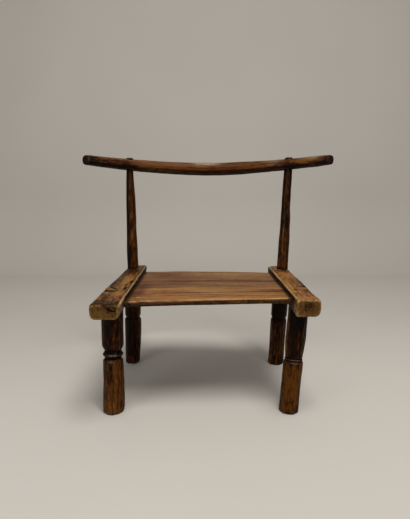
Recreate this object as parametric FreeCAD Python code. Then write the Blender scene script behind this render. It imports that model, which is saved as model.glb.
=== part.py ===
import FreeCAD, Part
import math
import os
from collections import namedtuple

# A low chair of eight carved wooden pieces, seen from the front: +X is the viewer's right,
# +Y is the back and +Z is up. The origin is on the floor, under the middle of the chair's outline.
# Lengths are in millimetres.

Vec = FreeCAD.Vector

# Whole chair
chair_depth = 469.0            # front end of the longer seat rail to the back of the crest rail
crest_half_width = 293.5       # middle to the centre of each end of the crest rail
rail_top = 270.2               # top faces of the seat rails above the floor

# Fits
tenon_clearance = 0.15         # radial room around each round tenon
housing_clearance = 0.3        # room over and beside the seat plank's ends
overrun = 20.0                 # how far a blank runs past the plane that trims it

# Where each leg crosses the level of the rail tops, and where it stands
left_front_seat_x = -208.7
right_front_seat_x = 195.5
left_rear_seat_x = -202.5
right_rear_seat_x = 197.5
left_front_foot_x = -210.5
right_front_foot_x = 174.2
left_rear_foot_x = -214.0
right_rear_foot_x = 190.0
front_leg_rake = 32.9          # the front feet stand this far ahead of their tenons
rear_leg_rake = 5.0            # the rear feet stand this far behind the rails' mortises

# Seat rails, along Y
left_rail_length = 423.0
right_rail_length = 375.0
right_rail_setback = 27.7      # the right rail starts this far behind the left one
left_front_overhang = 132.5    # rail end to the front leg's tenon
right_front_overhang = 101.2
left_leg_spacing = 241.0       # front tenon to the rear mortise, along the rail
right_leg_spacing = 235.0
left_rail_height = 31.2
right_rail_height = 35.0
left_front_cheek = 14.8        # leg centre to the rail's outer side
left_rear_cheek = 18.0
right_front_cheek = 19.5
right_rear_cheek = 17.5
left_rail_front_width = 56.2   # across the rail at the front leg
left_rail_rear_width = 50.5    # and at the rear leg
right_rail_front_width = 48.0
right_rail_rear_width = 49.7
left_rail_flare = -5.0         # how much further in the inner side reaches at the underside
right_rail_flare = 1.5
rail_arris = 4.5               # rounding of the upper long edges
rail_heel = 7.0                # rounding of the lower long edges
left_worn_heel = 11.0          # the left rail's lower inner edge is cut back further
rail_end_bevel = 2.5

# Seat plank, let into both rails
seat_drop = 10.9               # rail tops to the plank's upper face
seat_thickness = 12.0
seat_tongue = 7.0              # how far the plank's ends run in past the rails' inner top edges
left_seat_setback = 59.0       # rail end to the plank's front edge
right_seat_setback = 56.0
left_seat_depth = 323.0
right_seat_depth = 276.0
seat_front_hollow = 3.6        # the sitters' wear across the front edge
seat_back_bulge = 14.5         # the back edge keeps the tree's own curve
seat_front_round = 5.2         # worn upper front edge
seat_edge_bevel = 2.2

# Front legs, each with a ring carved round it and a tenon through the rail
front_tenon_diameter = 26.0
left_front_leg_diameter = 46.0
right_front_leg_diameter = 43.0
left_front_lower_diameter = 45.6   # below the ring
right_front_lower_diameter = 41.6
front_foot_bevel = 3.2
left_ring_height = 128.9
right_ring_height = 117.5
left_ring_diameter = 45.2
right_ring_diameter = 39.6
left_groove_diameter = 36.0
right_groove_diameter = 37.0
left_groove_offset = 7.9       # ring's edge to the bottom of the groove on each side of it
right_groove_offset = 2.6
left_lower_slope = 5.5         # length of the slope between the groove and the leg below it
right_lower_slope = 1.8
left_lower_shoulder_bevel = 1.4
right_lower_shoulder_bevel = 0.6
left_upper_slope = 10.5        # length of the slope between the groove and the leg above it
right_upper_slope = 51.5
left_upper_shoulder_bevel = 2.3
right_upper_shoulder_bevel = 6.0

# Rear stiles, each a leg with one groove, a shank through the rail, and the back post above it
rear_leg_diameter = 42.5
rear_foot_bevel = 2.0
left_rear_foot_diameter = 40.0
right_rear_foot_diameter = 42.2
left_rear_waist_diameter = 45.4
right_rear_waist_diameter = 42.2
rear_groove_height = 134.3
rear_groove_diameter = 35.6
rear_groove_slope = 6.5
rear_shoulder_bevel = 1.3
post_base_diameter = 29.0
left_post_middle_diameter = 25.4
right_post_middle_diameter = 25.0
left_post_neck_diameter = 18.2
right_post_neck_diameter = 19.4
post_proud = 3.0               # the post's tip stands this far above the crest rail
post_tip_bevel = 1.5

# Crest rail, one bent limb with its hollow to the front
crest_middle_height = 528.2    # centre of the section above the floor, in the middle
left_crest_rise = 17.6         # each end lies this much higher than the middle
right_crest_rise = 16.2
crest_bow = 133.7              # and this much further forward
left_mortise_x = -200.6
right_mortise_x = 205.5
crest_middle_thickness = 33.2  # measured up and down
crest_end_thickness = 22.0
crest_middle_depth = 36.0      # measured front to back
crest_end_depth = 27.0
crest_corner_share = 0.40      # each corner's roundness as a share of the section's smaller side
corner_edge_shares = (0.0, 0.5, 1.0)  # where the knife's flats meet, along a corner's quarter turn
crest_end_bevel = 2.2
crest_station_shares = (-1.0, -0.86, -0.67, -0.42, -0.16, 0.16, 0.42, 0.67, 0.86, 1.0)
crest_swell_power_share = 1.5  # how quickly the section thins towards the ends
crest_rise_power_share = 1.22  # how late the ends turn up
lug_width = 88.0               # raised block in the middle of the crest rail's back
lug_face_width = 58.0
lug_height = 28.8
lug_face_height = 20.8
lug_projection = 14.5
lug_lift = 3.2                 # the block's centre lies this much above the rail's own
lug_corner_share = 0.3

Leg = namedtuple("Leg", "foot seat underside outline foot_bevel")
Post = namedtuple("Post", "leg mortise_x middle_d neck_d")
Rail = namedtuple("Rail", "side front rear outer inner height flare heel")


def line_x(a, b, y):
    """X, at the given Y, of the plan line through two points."""
    return a.x + (b.x - a.x) * (y - a.y) / (b.y - a.y)


# Places worked out from the sizes above
left_rail_front = -chair_depth / 2
right_rail_front = left_rail_front + right_rail_setback
left_underside = rail_top - left_rail_height
right_underside = rail_top - right_rail_height
seat_top = rail_top - seat_drop
seat_bottom = seat_top - seat_thickness

left_front_seat = Vec(left_front_seat_x, left_rail_front + left_front_overhang, rail_top)
right_front_seat = Vec(right_front_seat_x, right_rail_front + right_front_overhang, rail_top)
left_rear_seat = Vec(left_rear_seat_x, left_front_seat.y + left_leg_spacing, rail_top)
right_rear_seat = Vec(right_rear_seat_x, right_front_seat.y + right_leg_spacing, rail_top)
left_front_foot = Vec(left_front_foot_x, left_front_seat.y - front_leg_rake, 0)
right_front_foot = Vec(right_front_foot_x, right_front_seat.y - front_leg_rake, 0)
left_rear_foot = Vec(left_rear_foot_x, left_rear_seat.y + rear_leg_rake, 0)
right_rear_foot = Vec(right_rear_foot_x, right_rear_seat.y + rear_leg_rake, 0)

# Seen from above, the crest rail's centre line is an arc
crest_middle_y = chair_depth / 2 - lug_projection - crest_middle_depth / 2
crest_radius = (crest_half_width ** 2 + crest_bow ** 2) / (2 * crest_bow)
crest_half_angle = math.asin(crest_half_width / crest_radius)


def crest_outward(angle):
    """The level direction from the hollow side of the crest rail to its back."""
    return Vec(math.sin(angle), math.cos(angle), 0)


def crest_point(angle):
    """A point of the crest rail's centre line, by its angle from the middle."""
    rise = right_crest_rise if angle > 0 else left_crest_rise
    rise *= abs(angle / crest_half_angle) ** crest_rise_power_share
    centre = Vec(0, crest_middle_y - crest_radius, crest_middle_height + rise)
    return centre + crest_outward(angle) * crest_radius


def crest_section(angle):
    """Depth and thickness of the crest rail's section."""
    swell = 1 - abs(angle / crest_half_angle) ** crest_swell_power_share
    depth = crest_end_depth + (crest_middle_depth - crest_end_depth) * swell
    return depth, crest_end_thickness + (crest_middle_thickness - crest_end_thickness) * swell


def slab(low, high):
    """The space between two levels, as a block wide enough for the whole chair."""
    reach = crest_half_width + overrun
    return Part.makeBox(2 * reach, 2 * reach, high - low, Vec(-reach, -reach, low))


def turned(outline, start, end):
    """Revolves an outline of (distance along the axis, diameter, bevel) and sets it along start to end."""
    corners = [Vec(diameter / 2, 0, along) for along, diameter, bevel in outline]
    corners = [Vec(0, 0, corners[0].z)] + corners + [Vec(0, 0, corners[-1].z)]
    points = corners[:1]
    for i, bevel in enumerate([bevel for along, diameter, bevel in outline], 1):
        if bevel > 0:
            for near in (corners[i - 1], corners[i + 1]):
                points.append(corners[i] + (near - corners[i]).normalize() * bevel)
        else:
            points.append(corners[i])
    points += [corners[-1], corners[0]]
    solid = Part.Face(Part.makePolygon(points)).revolve(Vec(0, 0, 0), Vec(0, 0, 1), 360)
    solid.Placement = FreeCAD.Placement(start, FreeCAD.Rotation(Vec(0, 0, 1), end - start))
    return solid


def leg_body(leg):
    """The carved leg between the floor and the rail's underside, cut flat at both."""
    body = turned(leg.outline, leg.foot, leg.seat).common(slab(0, leg.underside))
    rim = min(body.Edges, key=lambda e: e.BoundBox.ZMax)
    return body.makeChamfer(leg.foot_bevel, [rim])


def tenon(leg, room):
    """The front leg's round tenon through the rail, with radial room for its mortise."""
    axis = leg.seat - leg.foot
    start = leg.foot + axis * ((leg.underside - overrun) / rail_top)
    length = overrun + leg.seat.z
    return Part.makeCylinder(front_tenon_diameter / 2 + room, length, start, axis)


def front_leg(leg):
    """Leg and tenon in one, the tenon cut off flush with the rail's top."""
    shank = tenon(leg, 0).common(slab(leg.underside, rail_top))
    return leg_body(leg).fuse(shank).removeSplitter()


def post_shank(post, room):
    """Shank, tapering back post and tip in one, from under the rail to above the crest rail."""
    angle = math.asin(post.mortise_x / crest_radius)
    top = crest_point(angle)
    half = crest_section(angle)[1] / 2
    seat = post.leg.seat
    direction = (top - seat).normalize()
    below = (rail_top - post.leg.underside + overrun) / direction.z
    start = seat - direction * below
    neck = below + (top - seat).Length - half
    tip = neck + 2 * half + post_proud
    outline = [(0, post_base_diameter, 0), (below, post_base_diameter, 0)]
    outline += [((below + neck) / 2, post.middle_d, 0), (neck, post.neck_d, 0)]
    outline += [(tip, post.neck_d, post_tip_bevel)]
    return turned([(along, diameter + 2 * room, bevel) for along, diameter, bevel in outline], start, top)


def rear_stile(post):
    """Leg, shank and back post in one."""
    upper = post_shank(post, 0).common(slab(post.leg.underside, 2 * crest_middle_height))
    return leg_body(post.leg).fuse(upper).removeSplitter()


def rail_corners(rail, y):
    """The four corners of a rail's section at one end: outer top, inner top, inner and outer bottom."""
    outer, inner = line_x(*rail.outer, y), line_x(*rail.inner, y)
    bottom = rail_top - rail.height
    flared = inner - rail.side * rail.flare
    return [Vec(outer, y, rail_top), Vec(inner, y, rail_top), Vec(flared, y, bottom), Vec(outer, y, bottom)]


def rail_blank(rail):
    """A tapering timber with its long edges rounded and its ends bevelled."""
    front, rear = rail_corners(rail, rail.front), rail_corners(rail, rail.rear)
    rings = [front, rear[::-1]]
    for i in range(len(front)):
        j = (i + 1) % len(front)
        rings.append([front[j], front[i], rear[i], rear[j]])
    rings = [ring[::rail.side] for ring in rings]
    timber = Part.Solid(Part.Shell([Part.Face(Part.makePolygon(ring + ring[:1])) for ring in rings]))
    near = tenon_clearance / 10
    rounds = [rail_arris, rail_arris, rail.heel, rail_heel]
    for start, end, radius in zip(front, rear, rounds):
        middle = (start + end) / 2
        edge = min(timber.Edges, key=lambda e: (e.CenterOfMass - middle).Length)
        timber = timber.makeFillet(radius, [edge])
    for end in (rail.front, rail.rear):
        rim = [e for e in timber.Edges if all(abs(v.Y - end) < near for v in e.Vertexes)]
        timber = timber.makeChamfer(rail_end_bevel, rim)
    return timber


def seat_board(left, right, room):
    """The sawn seat board; with room, the space that its housings leave for it."""
    front_left = left.front + left_seat_setback - room
    front_right = right.front + right_seat_setback - room
    rear_left = left.front + left_seat_setback + left_seat_depth + room
    rear_right = right.front + right_seat_setback + right_seat_depth + room
    reach = seat_tongue + room
    a = Vec(line_x(*left.inner, front_left) - reach, front_left, seat_bottom)
    b = Vec(line_x(*right.inner, front_right) + reach, front_right, seat_bottom)
    c = Vec(line_x(*right.inner, rear_right) + reach, rear_right, seat_bottom)
    d = Vec(line_x(*left.inner, rear_left) - reach, rear_left, seat_bottom)
    front_middle = (a + b) / 2 + Vec(0, seat_front_hollow, 0)
    rear_middle = (c + d) / 2 + Vec(0, seat_back_bulge, 0)
    edges = [Part.Arc(a, front_middle, b).toShape(), Part.LineSegment(b, c).toShape()]
    edges += [Part.Arc(c, rear_middle, d).toShape(), Part.LineSegment(d, a).toShape()]
    return Part.Face(Part.Wire(edges)).extrude(Vec(0, 0, seat_thickness + room))


def seat_plank(left, right):
    """The board with its front edge worn round and its other long edges bevelled."""
    board = seat_board(left, right, 0)
    box = board.BoundBox
    for y, level, worn in ((box.YMin, seat_top, True), (box.YMin, seat_bottom, False),
                           (box.YMax, seat_top, False), (box.YMax, seat_bottom, False)):
        spot = Part.Vertex(Vec(0, y, level))
        edge = min(board.Edges, key=lambda e: e.distToShape(spot)[0])
        if worn:
            board = board.makeFillet(seat_front_round, [edge])
        else:
            board = board.makeChamfer(seat_edge_bevel, [edge])
    return board


def whittled_section(centre, across, up, width, height, corner_share):
    """A rectangle with its corners cut round in flats, standing in the plane of the two directions."""
    corner = corner_share * min(width, height)
    ring = []
    for i, (sx, sy) in enumerate([(1, 1), (-1, 1), (-1, -1), (1, -1)]):
        for share in corner_edge_shares:
            turn = (i + share) * math.pi / 2
            u = sx * (width / 2 - corner) + corner * math.cos(turn)
            v = sy * (height / 2 - corner) + corner * math.sin(turn)
            ring.append(centre + across * u + up * v)
    return Part.makePolygon(ring + ring[:1])


def crest_ring(angle, inset):
    """The limb's section at an angle from its middle, made smaller all round by the inset."""
    depth, thickness = crest_section(angle)
    return whittled_section(crest_point(angle), crest_outward(angle), Vec(0, 0, 1), depth - 2 * inset,
                            thickness - 2 * inset, crest_corner_share)


def crest_limb():
    """The bent limb, lofted through sections square to its centre line, with bevelled ends."""
    last = crest_half_angle - crest_end_bevel / crest_radius
    limb = Part.makeLoft([crest_ring(share * last, 0) for share in crest_station_shares], True)
    for side in (-1, 1):
        rings = [crest_ring(side * last, 0), crest_ring(side * crest_half_angle, crest_end_bevel)]
        limb = limb.fuse(Part.makeLoft(rings, True, True))
    return limb


def crest_lug():
    """The raised block at the back of the crest rail's middle, with sloped ends."""
    centre = crest_point(0) + Vec(0, 0, lug_lift)
    face = Vec(centre.x, chair_depth / 2, centre.z)
    across, up = Vec(1, 0, 0), Vec(0, 0, 1)
    base = whittled_section(centre, across, up, lug_width, lug_height, lug_corner_share)
    top = whittled_section(face, across, up, lug_face_width, lug_face_height, lug_corner_share)
    return Part.makeLoft([base, top], True, True)


left_rail = Rail(
    side=-1, front=left_rail_front, rear=left_rail_front + left_rail_length,
    outer=(left_front_seat - Vec(left_front_cheek, 0, 0), left_rear_seat - Vec(left_rear_cheek, 0, 0)),
    inner=(left_front_seat + Vec(left_rail_front_width - left_front_cheek, 0, 0),
           left_rear_seat + Vec(left_rail_rear_width - left_rear_cheek, 0, 0)),
    height=left_rail_height, flare=left_rail_flare, heel=left_worn_heel)
right_rail = Rail(
    side=1, front=right_rail_front, rear=right_rail_front + right_rail_length,
    outer=(right_front_seat + Vec(right_front_cheek, 0, 0), right_rear_seat + Vec(right_rear_cheek, 0, 0)),
    inner=(right_front_seat - Vec(right_rail_front_width - right_front_cheek, 0, 0),
           right_rear_seat - Vec(right_rail_rear_width - right_rear_cheek, 0, 0)),
    height=right_rail_height, flare=right_rail_flare, heel=rail_heel)


def ringed_outline(lower_d, body_d, groove_d, ring_d, ring_height, offset, slopes, bevels):
    """A leg with one raised ring between two grooves, from under the floor to the rail's top."""
    lower, upper = ring_height - offset, ring_height + offset
    return [(-overrun, lower_d, 0), (lower - slopes[0], lower_d, bevels[0]), (lower, groove_d, 0),
            (ring_height, ring_d, 0), (upper, groove_d, 0),
            (upper + slopes[1], body_d, bevels[1]), (rail_top, body_d, 0)]


def grooved_outline(foot_d, waist_d):
    """A rear leg with a single groove round it."""
    return [(-overrun, foot_d, 0), (0, foot_d, 0),
            (rear_groove_height - rear_groove_slope, waist_d, rear_shoulder_bevel),
            (rear_groove_height, rear_groove_diameter, 0),
            (rear_groove_height + rear_groove_slope, rear_leg_diameter, rear_shoulder_bevel),
            (rail_top, rear_leg_diameter, 0)]


front_left = Leg(
    left_front_foot, left_front_seat, left_underside,
    ringed_outline(left_front_lower_diameter, left_front_leg_diameter, left_groove_diameter,
                   left_ring_diameter, left_ring_height, left_groove_offset,
                   (left_lower_slope, left_upper_slope),
                   (left_lower_shoulder_bevel, left_upper_shoulder_bevel)),
    front_foot_bevel)
front_right = Leg(
    right_front_foot, right_front_seat, right_underside,
    ringed_outline(right_front_lower_diameter, right_front_leg_diameter, right_groove_diameter,
                   right_ring_diameter, right_ring_height, right_groove_offset,
                   (right_lower_slope, right_upper_slope),
                   (right_lower_shoulder_bevel, right_upper_shoulder_bevel)),
    front_foot_bevel)
rear_left = Leg(left_rear_foot, left_rear_seat, left_underside,
                grooved_outline(left_rear_foot_diameter, left_rear_waist_diameter), rear_foot_bevel)
rear_right = Leg(right_rear_foot, right_rear_seat, right_underside,
                 grooved_outline(right_rear_foot_diameter, right_rear_waist_diameter), rear_foot_bevel)
left_post = Post(rear_left, left_mortise_x, left_post_middle_diameter, left_post_neck_diameter)
right_post = Post(rear_right, right_mortise_x, right_post_middle_diameter, right_post_neck_diameter)


def side_rail(rail, front, post, housing):
    """A rail with the front leg's mortise, the rear stile's mortise and the plank's housing."""
    shape = rail_blank(rail).cut(tenon(front, tenon_clearance))
    return shape.cut(post_shank(post, tenon_clearance)).cut(housing)


def crest_rail():
    """The limb and its block in one, with a mortise for each post."""
    shape = crest_limb().fuse(crest_lug())
    for post in (left_post, right_post):
        shape = shape.cut(post_shank(post, tenon_clearance))
    return shape


def chair():
    """Every piece of the chair, by name."""
    housing = seat_board(left_rail, right_rail, housing_clearance)
    return {
        "left_side_rail": side_rail(left_rail, front_left, left_post, housing),
        "right_side_rail": side_rail(right_rail, front_right, right_post, housing),
        "seat_plank": seat_plank(left_rail, right_rail),
        "front_left_leg": front_leg(front_left),
        "front_right_leg": front_leg(front_right),
        "rear_left_stile": rear_stile(left_post),
        "rear_right_stile": rear_stile(right_post),
        "crest_rail": crest_rail(),
    }


os.makedirs("parts", exist_ok=True)
for name, shape in chair().items():
    shape.exportStep("parts/" + name + ".step")
    box = shape.BoundBox
    print(name, len(shape.Solids), shape.isValid(), round(shape.Volume), box)
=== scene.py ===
import math
from collections import namedtuple
import bmesh
import bpy
import numpy as np
from mathutils import Matrix, Vector


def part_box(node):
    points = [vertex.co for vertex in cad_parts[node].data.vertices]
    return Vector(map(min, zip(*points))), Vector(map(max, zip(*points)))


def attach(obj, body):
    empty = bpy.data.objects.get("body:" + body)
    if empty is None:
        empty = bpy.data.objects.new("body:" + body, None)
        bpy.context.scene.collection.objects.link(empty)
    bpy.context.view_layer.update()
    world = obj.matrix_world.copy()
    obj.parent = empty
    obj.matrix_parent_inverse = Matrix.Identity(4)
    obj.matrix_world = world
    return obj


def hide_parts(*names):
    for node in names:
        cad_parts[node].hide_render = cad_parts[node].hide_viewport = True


# A low chair of hand-carved wood, dressed over its frame. Lengths are in metres, and the places
# of marks are in millimetres. +X is the viewer's right, +Y is the back and +Z is up.
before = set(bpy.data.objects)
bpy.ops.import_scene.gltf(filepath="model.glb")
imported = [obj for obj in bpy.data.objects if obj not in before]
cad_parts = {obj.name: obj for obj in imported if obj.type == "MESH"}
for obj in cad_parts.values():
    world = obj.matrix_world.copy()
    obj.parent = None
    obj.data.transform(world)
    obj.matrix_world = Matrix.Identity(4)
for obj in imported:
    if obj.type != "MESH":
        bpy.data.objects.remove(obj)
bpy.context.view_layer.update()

mm = 0.001
tau = 2 * math.pi

# Camera, at the photograph's viewing angle
camera_place = Vector((-0.0083, -1.0016, 0.4750))
camera_pitch = math.radians(13.216)   # looking down
camera_yaw = math.radians(-0.025)
camera_roll = math.radians(-0.197)
camera_lens = 29.827
camera_sensor = 36.0
camera_shift_y = 0.0605               # the photograph is cropped, so its centre isn't the lens's

# Points of the even meshes lie this far apart
leg_step = 1.0 * mm
rail_step = 1.25 * mm
plank_step = 1.75 * mm
crest_step = 1.1 * mm

# Levels of the chair, from its frame
rail_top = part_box("left_side_rail")[1][2]
left_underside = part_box("left_side_rail")[0][2]
right_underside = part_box("right_side_rail")[0][2]
seat_low, seat_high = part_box("seat_plank")

# Sizes of the wood's features, along the grain and across it
fibre_size = (55 * mm, 1.3 * mm)
streak_size = (150 * mm, 6 * mm)
cloud_size = (60 * mm, 26 * mm)
mottle_size = (15 * mm, 6 * mm)
speck_size = (6 * mm, 4 * mm)
pore_size = (7 * mm, 0.7 * mm)
check_size = (140 * mm, 11 * mm)
rub_size = (34 * mm, 3.5 * mm)
bend_size = (190 * mm, 70 * mm)
ring_bend = 9 * mm
bump_height = 0.45 * mm

# Levels between which each feature of the wood comes in, some with its least and its most
dark_figure = (0.42, 0.50)
light_figure = (0.50, 0.57)
warm_patches = (0.85, 1.15, 0.25, 1.0)
rubbed_patches = (0.80, 1.10, 0.2, 1.0)
dirty_ends = (0.30, 0.52)
open_pores = (0.60, 0.70, 0.0, 0.6)
pored_clouds = (0.42, 0.55, 0.3, 1.0)
crack_lines = (0.0, 0.005, 1.0, 0.0)
cracked_clouds = (0.50, 0.58)
dirt_and_shade_specks = (0.30, 0.65, 1.0, 0.75)
tone_weight = 0.12

# Where the tree's heart lies, across the grain, and how wide its rings are
round_heart = (4 * mm, 6 * mm)
rail_heart = (20 * mm, -235 * mm)
seat_heart = (60 * mm, -200 * mm)
round_rings = 3 * mm
rail_rings = 4 * mm
seat_rings = 6 * mm

# What stands out of its surroundings by these heights is worn, and what lies deep holds grime
worn_heights = (0.22 * mm, 1.0 * mm)
grimy_depths = (0.18 * mm, 0.8 * mm)
weather_rounds = 12

# Each palette's grime colour also serves as painted shade, and its pale colour also as painted highlights
Palette = namedtuple("Palette", "dark middle light warm pale grime cut")

# A mark is cut along a line of points. Its side takes the steep share of its half-width, and its
# stain darkens the wood, or rubs it pale where the stain is negative.
Mark = namedtuple("Mark", "line width depth steep stain")


def srgb(red, green, blue):
    """A colour from its usual 0 to 255 values."""
    values = [value / 255 for value in (red, green, blue)]
    return [v / 12.92 if v <= 0.04045 else ((v + 0.055) / 1.055) ** 2.4 for v in values] + [1.0]


# Shader helpers

def new_material(name):
    """A material and its empty node tree."""
    material = bpy.data.materials.new(name)
    material.use_nodes = True
    material.node_tree.nodes.clear()
    return material, material.node_tree


def add(tree, kind, inputs, **settings):
    """A shader node; inputs go by name or number, to a value or to another node's socket."""
    made = tree.nodes.new(kind)
    for key, value in settings.items():
        setattr(made, key, value)
    for key, value in inputs.items():
        if isinstance(value, bpy.types.NodeSocket):
            tree.links.new(value, made.inputs[key])
        else:
            made.inputs[key].default_value = value
    return made


def maths(tree, operation, a, b=0.0):
    return add(tree, "ShaderNodeMath", {0: a, 1: b}, operation=operation).outputs[0]


def weighted(tree, parts):
    """The sum of (value, weight) pairs."""
    total = 0.0
    for value, weight in parts:
        total = maths(tree, "ADD", total, maths(tree, "MULTIPLY", value, weight))
    return total


def mix(tree, factor, a, b):
    made = add(tree, "ShaderNodeMix", {0: factor, 6: a, 7: b}, data_type="RGBA")
    return made.outputs[2]


def ranged(tree, value, low, high, to_low=0.0, to_high=1.0):
    inputs = {"Value": value, "From Min": low, "From Max": high, "To Min": to_low, "To Max": to_high}
    return add(tree, "ShaderNodeMapRange", inputs, interpolation_type="SMOOTHSTEP").outputs[0]


def attribute(tree, name, output="Fac"):
    return add(tree, "ShaderNodeAttribute", {}, attribute_name=name).outputs[output]


def grain_noise(tree, grain, size, detail=3.0, roughness=0.55, distortion=0.0):
    """Noise whose features have the given size along the grain and across it."""
    along, across = size
    scale = (1 / along, 1 / across, 1 / across)
    sized = add(tree, "ShaderNodeMapping", {"Vector": grain, "Scale": scale})
    inputs = {"Vector": sized.outputs[0], "Scale": 1.0, "Detail": detail, "Roughness": roughness,
              "Distortion": distortion}
    return add(tree, "ShaderNodeTexNoise", inputs).outputs[0]


def year_rings(tree, grain, heart, width):
    """Uneven growth rings round a bent heart: streaks along the piece and arcs on its ends."""
    across = add(tree, "ShaderNodeMapping", {"Vector": grain, "Location": (0, *heart), "Scale": (0, 1, 1)})
    radius = add(tree, "ShaderNodeVectorMath", {0: across.outputs[0]}, operation="LENGTH").outputs["Value"]
    bend = grain_noise(tree, grain, bend_size, 3.0, 0.5)
    radius = maths(tree, "ADD", radius, maths(tree, "MULTIPLY", bend, ring_bend))
    inputs = {"W": maths(tree, "DIVIDE", radius, width), "Scale": 1.0, "Detail": 2.0, "Roughness": 0.6}
    return add(tree, "ShaderNodeTexNoise", inputs, noise_dimensions="1D").outputs[0]


def wood(name, palette, seed, heart, ring_width, shares, gloss, shine):
    """Aged, handled wood. The shares weigh rings, streaks, fibres, clouds and mottling in its figure."""
    material, tree = new_material(name)
    offset = (0.31 * seed, 0.17 * seed, 0.23 * seed)
    grain = attribute(tree, "grain", "Vector")
    here = add(tree, "ShaderNodeVectorMath", {0: grain, 1: offset}).outputs[0]
    stored = [attribute(tree, each) for each in ("tone", "warm", "wear", "grime_and_shade", "end")]
    tone, warmth, wear, grime_and_shade, end = stored

    rings = year_rings(tree, grain, heart, ring_width)
    streak = grain_noise(tree, here, streak_size, 3.0, 0.6, 0.3)
    fibre = grain_noise(tree, here, fibre_size, 4.0, 0.65)
    cloud = grain_noise(tree, here, cloud_size, 3.0, 0.55)
    mottle = grain_noise(tree, here, mottle_size, 4.0, 0.6, 0.5)
    speck = grain_noise(tree, here, speck_size, 4.0, 0.7)
    pore = grain_noise(tree, here, pore_size, 2.0, 0.5)
    line = grain_noise(tree, here, check_size, 2.0, 0.5, 0.2)
    rub = grain_noise(tree, here, rub_size, 3.0, 0.6)

    figure = weighted(tree, zip((rings, streak, fibre, cloud, mottle), shares))
    figure = maths(tree, "ADD", figure, maths(tree, "MULTIPLY", tone, tone_weight))
    colour = mix(tree, ranged(tree, figure, *light_figure), palette.middle, palette.light)
    patches = ranged(tree, maths(tree, "ADD", streak, mottle), *warm_patches)
    colour = mix(tree, maths(tree, "MULTIPLY", warmth, patches), colour, palette.warm)
    colour = mix(tree, ranged(tree, figure, *dark_figure), palette.dark, colour)

    # Sawn and chopped ends drink the dirt
    dirt = weighted(tree, [(rings, 0.2), (speck, 0.35), (mottle, 0.45), (tone, tone_weight)])
    sawn = mix(tree, ranged(tree, dirt, *dirty_ends), palette.dark, palette.cut)
    colour = mix(tree, maths(tree, "MULTIPLY", end, 0.9), colour, sawn)

    # Pale wood shows where hands and cloth rub, and where highlights are painted
    patches = ranged(tree, maths(tree, "ADD", rub, speck), *rubbed_patches)
    rubbed_and_highlit = maths(tree, "MULTIPLY", wear, patches)
    colour = mix(tree, rubbed_and_highlit, colour, palette.pale)

    # Open pores and fine cracks run along the sides, and the grime colour settles in the hollows and also
    # paints the shade that the pieces store
    clouded = ranged(tree, cloud, *pored_clouds)
    pores = maths(tree, "MULTIPLY", ranged(tree, pore, *open_pores), clouded)
    colour = mix(tree, pores, colour, palette.grime)
    off_line = maths(tree, "ABSOLUTE", maths(tree, "SUBTRACT", line, 0.5))
    clouded = ranged(tree, cloud, *cracked_clouds)
    check = maths(tree, "MULTIPLY", ranged(tree, off_line, *crack_lines), clouded)
    check = maths(tree, "MULTIPLY", check, maths(tree, "SUBTRACT", 1.0, end))
    colour = mix(tree, maths(tree, "MULTIPLY", check, 0.75), colour, palette.grime)
    dirt_and_shade = maths(tree, "MULTIPLY", grime_and_shade, ranged(tree, speck, *dirt_and_shade_specks))
    colour = mix(tree, dirt_and_shade, colour, palette.grime)

    rough = ranged(tree, maths(tree, "ADD", fibre, speck), 0.75, 1.25, gloss, gloss + 0.2)
    rough = maths(tree, "ADD", rough, weighted(tree, [(rubbed_and_highlit, -0.08), (dirt_and_shade, 0.2), (end, 0.15)]))
    height = weighted(tree, [(fibre, 0.5), (speck, 0.4), (mottle, 0.3), (pores, -0.5), (check, -1.4)])
    bump = add(tree, "ShaderNodeBump", {"Height": height, "Strength": 0.8, "Distance": bump_height})
    inputs = {"Base Color": colour, "Roughness": rough, "Normal": bump.outputs[0],
              "Specular IOR Level": shine}
    shader = add(tree, "ShaderNodeBsdfPrincipled", inputs)
    add(tree, "ShaderNodeOutputMaterial", {"Surface": shader.outputs[0]})
    return material


# Mesh helpers

def even_copy(node, name, step):
    """A new piece with the node's shape on an even mesh, ready to be carved."""
    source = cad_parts[node]
    piece = bpy.data.objects.new(name, source.data.copy())
    bpy.context.collection.objects.link(piece)
    even = piece.modifiers.new("even", "REMESH")
    even.mode = "VOXEL"
    even.voxel_size = step
    even.use_smooth_shade = True
    seen = piece.evaluated_get(bpy.context.evaluated_depsgraph_get())
    piece.data = bpy.data.meshes.new_from_object(seen)
    piece.modifiers.clear()
    piece.data.materials.clear()
    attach(piece, "root")
    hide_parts(node)
    return piece


def points_of(piece):
    points = np.empty(len(piece.data.vertices) * 3)
    piece.data.vertices.foreach_get("co", points)
    return points.reshape(-1, 3)


def normals_of(piece):
    normals = np.empty(len(piece.data.vertices) * 3)
    piece.data.vertex_normals.foreach_get("vector", normals)
    return normals.reshape(-1, 3)


def place_points(piece, points):
    piece.data.vertices.foreach_set("co", points.ravel())
    piece.data.update()


def waves(points, sizes, seed, count=26):
    """A smooth random field of about unit height, whose bumps have the given size along each axis."""
    random = np.random.default_rng(seed)
    ways = random.normal(size=(count, 3))
    ways /= np.linalg.norm(ways, axis=1)[:, None]
    turns = (points / np.array(sizes)) @ ways.T * tau / 2 + random.uniform(0, tau, count)
    return np.sin(turns).sum(axis=1) / math.sqrt(count / 2)


def step_up(values, low, high):
    """0 below low, 1 above high and smooth between; low may be the larger one."""
    share = np.clip((values - low) / (high - low), 0, 1)
    return share * share * (3 - 2 * share)


def spread_mean(piece, values, rounds):
    """The values after each point has taken its neighbours' mean, a number of times."""
    edges = np.empty(len(piece.data.edges) * 2, dtype=np.int32)
    piece.data.edges.foreach_get("vertices", edges)
    a, b = edges.reshape(-1, 2).T
    size = len(values)
    degree = np.bincount(a, minlength=size) + np.bincount(b, minlength=size)
    result = values.copy()
    for _ in range(rounds):
        for axis in range(result.shape[1]):
            column = result[:, axis]
            total = np.bincount(a, column[b], size) + np.bincount(b, column[a], size)
            result[:, axis] = (column + total) / (degree + 1)
    return result


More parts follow.
